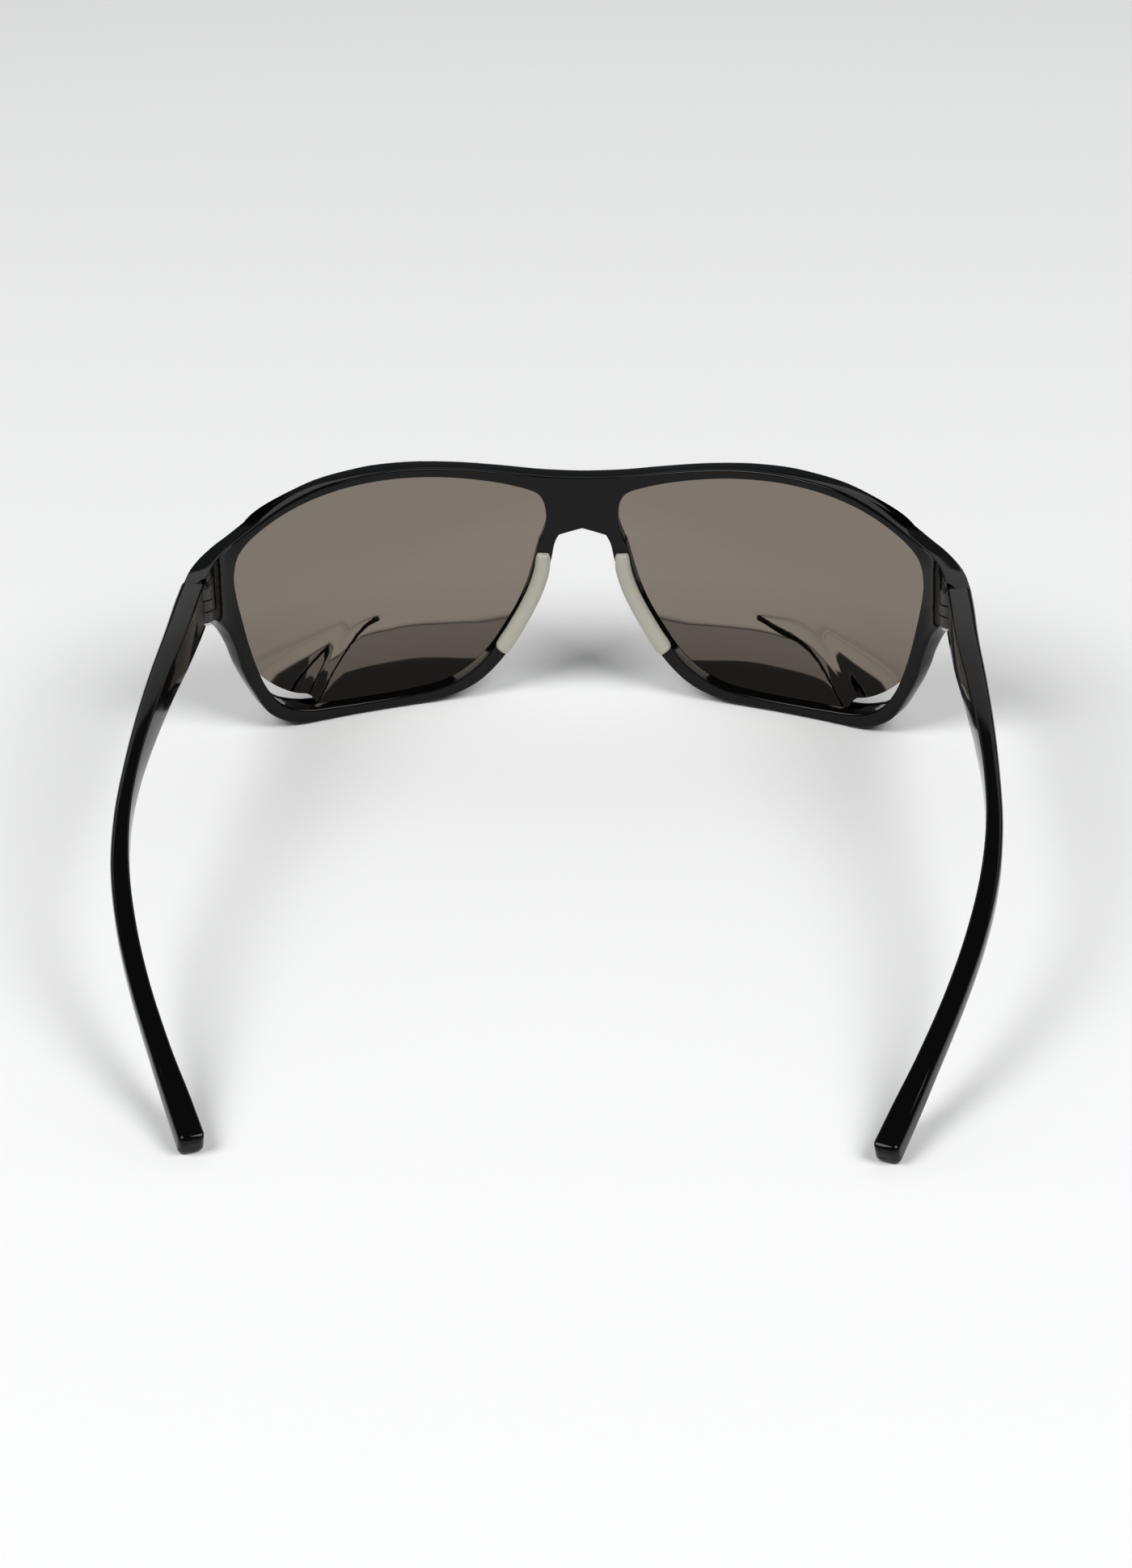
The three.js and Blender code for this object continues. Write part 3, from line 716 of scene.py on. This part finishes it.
def hinge_plastic():
    material, tree, shader = new_material("satin_hinge_plastic", (0.02, 0.017, 0.015), 0.3)
    bumped(tree, shader, noise(tree, 700, 3), 0.15, 0.0002)
    return material


def screw_steel():
    material, tree, shader = new_material("turned_screw_steel", (0.55, 0.55, 0.56), 0.3, Metallic=1.0)
    tree.links.new(ranged(tree, noise(tree, 1500, 2), 0.2, 0.4), shader.inputs["Roughness"])
    return material


def floor_with_painted_falloff():
    """Pale paper whose colour darkens away from the object: a painted fall-off of the light further out."""
    material, tree, shader = new_material("studio_floor", (0.88, 0.88, 0.88), 0.9, Specular_IOR_Level=0.1)
    place = tree.nodes.new("ShaderNodeTexCoord")
    distance = tree.nodes.new("ShaderNodeVectorMath")
    distance.operation = "LENGTH"
    tree.links.new(place.outputs["Object"], distance.inputs[0])
    shade = tree.nodes.new("ShaderNodeCombineColor")
    # painted fall-off of the light: the floor colour drops from 0.88 at 0.4 m to 0.5 at 1.4 m
    level = ranged(tree, distance.outputs["Value"], 0.88, 0.5, 0.4, 1.4)
    for channel in ("Red", "Green", "Blue"):
        tree.links.new(level, shade.inputs[channel])
    tree.links.new(shade.outputs["Color"], shader.inputs["Base Color"])
    return material


def dress(obj, material):
    obj.data.materials.clear()
    obj.data.materials.append(material)


# ---- the studio ------------------------------------------------------------------------
def make_camera():
    level = Vector((-math.sin(CAMERA_YAW), -math.cos(CAMERA_YAW), 0))
    side = Vector((-math.cos(CAMERA_YAW), math.sin(CAMERA_YAW), 0))
    up_level = Vector((0, 0, 1))
    ahead = level * math.cos(CAMERA_ELEVATION) - up_level * math.sin(CAMERA_ELEVATION)
    above = up_level * math.cos(CAMERA_ELEVATION) + level * math.sin(CAMERA_ELEVATION)
    right = side * math.cos(CAMERA_ROLL) + above * math.sin(CAMERA_ROLL)
    top = above * math.cos(CAMERA_ROLL) - side * math.sin(CAMERA_ROLL)
    data = bpy.data.cameras.new("camera")
    data.lens = CAMERA_LENS
    data.sensor_width = SENSOR
    camera = bpy.data.objects.new("camera", data)
    bpy.context.scene.collection.objects.link(camera)
    rotation = Matrix((right, top, -ahead)).transposed()
    camera.matrix_world = Matrix.Translation(CAMERA_TARGET - ahead * CAMERA_DISTANCE) @ rotation.to_4x4()
    bpy.context.scene.camera = camera


def soft_light(name, place, target, size, power):
    data = bpy.data.lights.new(name, "AREA")
    data.shape = "RECTANGLE"
    data.size, data.size_y = size
    data.energy = power
    light = bpy.data.objects.new(name, data)
    bpy.context.scene.collection.objects.link(light)
    way = Vector(target) - Vector(place)
    light.matrix_world = Matrix.Translation(place) @ way.to_track_quat("-Z", "Y").to_matrix().to_4x4()


def make_studio():
    bpy.context.scene.view_settings.view_transform = "Standard"
    world = bpy.data.worlds.new("studio")
    bpy.context.scene.world = world
    world.use_nodes = True
    world.node_tree.nodes["Background"].inputs["Color"].default_value = WORLD_COLOUR
    world.node_tree.nodes["Background"].inputs["Strength"].default_value = WORLD_LIGHT
    deselect()
    bpy.ops.mesh.primitive_plane_add(size=FLOOR_SIZE)
    floor = bpy.context.object
    floor.name = "floor"
    dress(floor, floor_with_painted_falloff())
    for name, side in (("left_softbox", -1), ("right_softbox", 1)):
        soft_light(name, (0.85 * side, 0.5, 1.15), (0, -0.1, 0), (0.8, 0.8), SOFTBOX_POWER)
    soft_light("back_panel", (0, -1.35, 1.05), (0, -0.3, 0), (5.5, 0.8), PANEL_POWER)
    soft_light("room_glow", (0, 3, 0.275), (0, 0, 0.275), (7.0, 0.55), ROOM_POWER)


def place_pair(piece, node, body, material):
    """The left piece and its mirror image, each standing for its CAD node."""
    pieces = {"left": piece, "right": mirror_copy(piece, f"right_{node}_shell")}
    for side, part in pieces.items():
        dress(part, material)
        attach(part, body.format(side=side))
        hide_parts(f"{side}_{node}")


# ---- the whole ---------------------------------------------------------------------------
make_camera()
make_studio()

gloss = gloss_black()
coat = lens_coat()
rubber = pad_rubber()
plastic = hinge_plastic()
steel = screw_steel()

front = make_front()
for cutter in hinge_room(-1, FRONT_LEAF_END, 0):
    cut(front, cutter)
cut(front, make_pad("pad_cutter", PAD_GAP))
apply_modifier(front, "MIRROR", use_axis=(True, False, False), use_clip=True, merge_threshold=MERGE_DISTANCE)
finish_mesh(front)
dress(front, gloss)
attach(front, "front")
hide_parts("front_frame")

place_pair(make_lens(), "lens", "front", coat)
place_pair(make_pad("left_nose_pad_shell"), "nose_pad", "front", rubber)
arm = make_arm()
for cutter in hinge_room(1, ARM_LEAF_END, ARM_LEAF_TURN):
    cut(arm, cutter)
finish_mesh(arm)
place_pair(arm, "temple", "{side}_arm", gloss)

for side in ("left", "right"):
    dress(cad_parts[f"{side}_front_hinge_leaf"], plastic)
    dress(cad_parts[f"{side}_temple_hinge_leaf"], plastic)
    dress(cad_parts[f"{side}_hinge_screw"], steel)
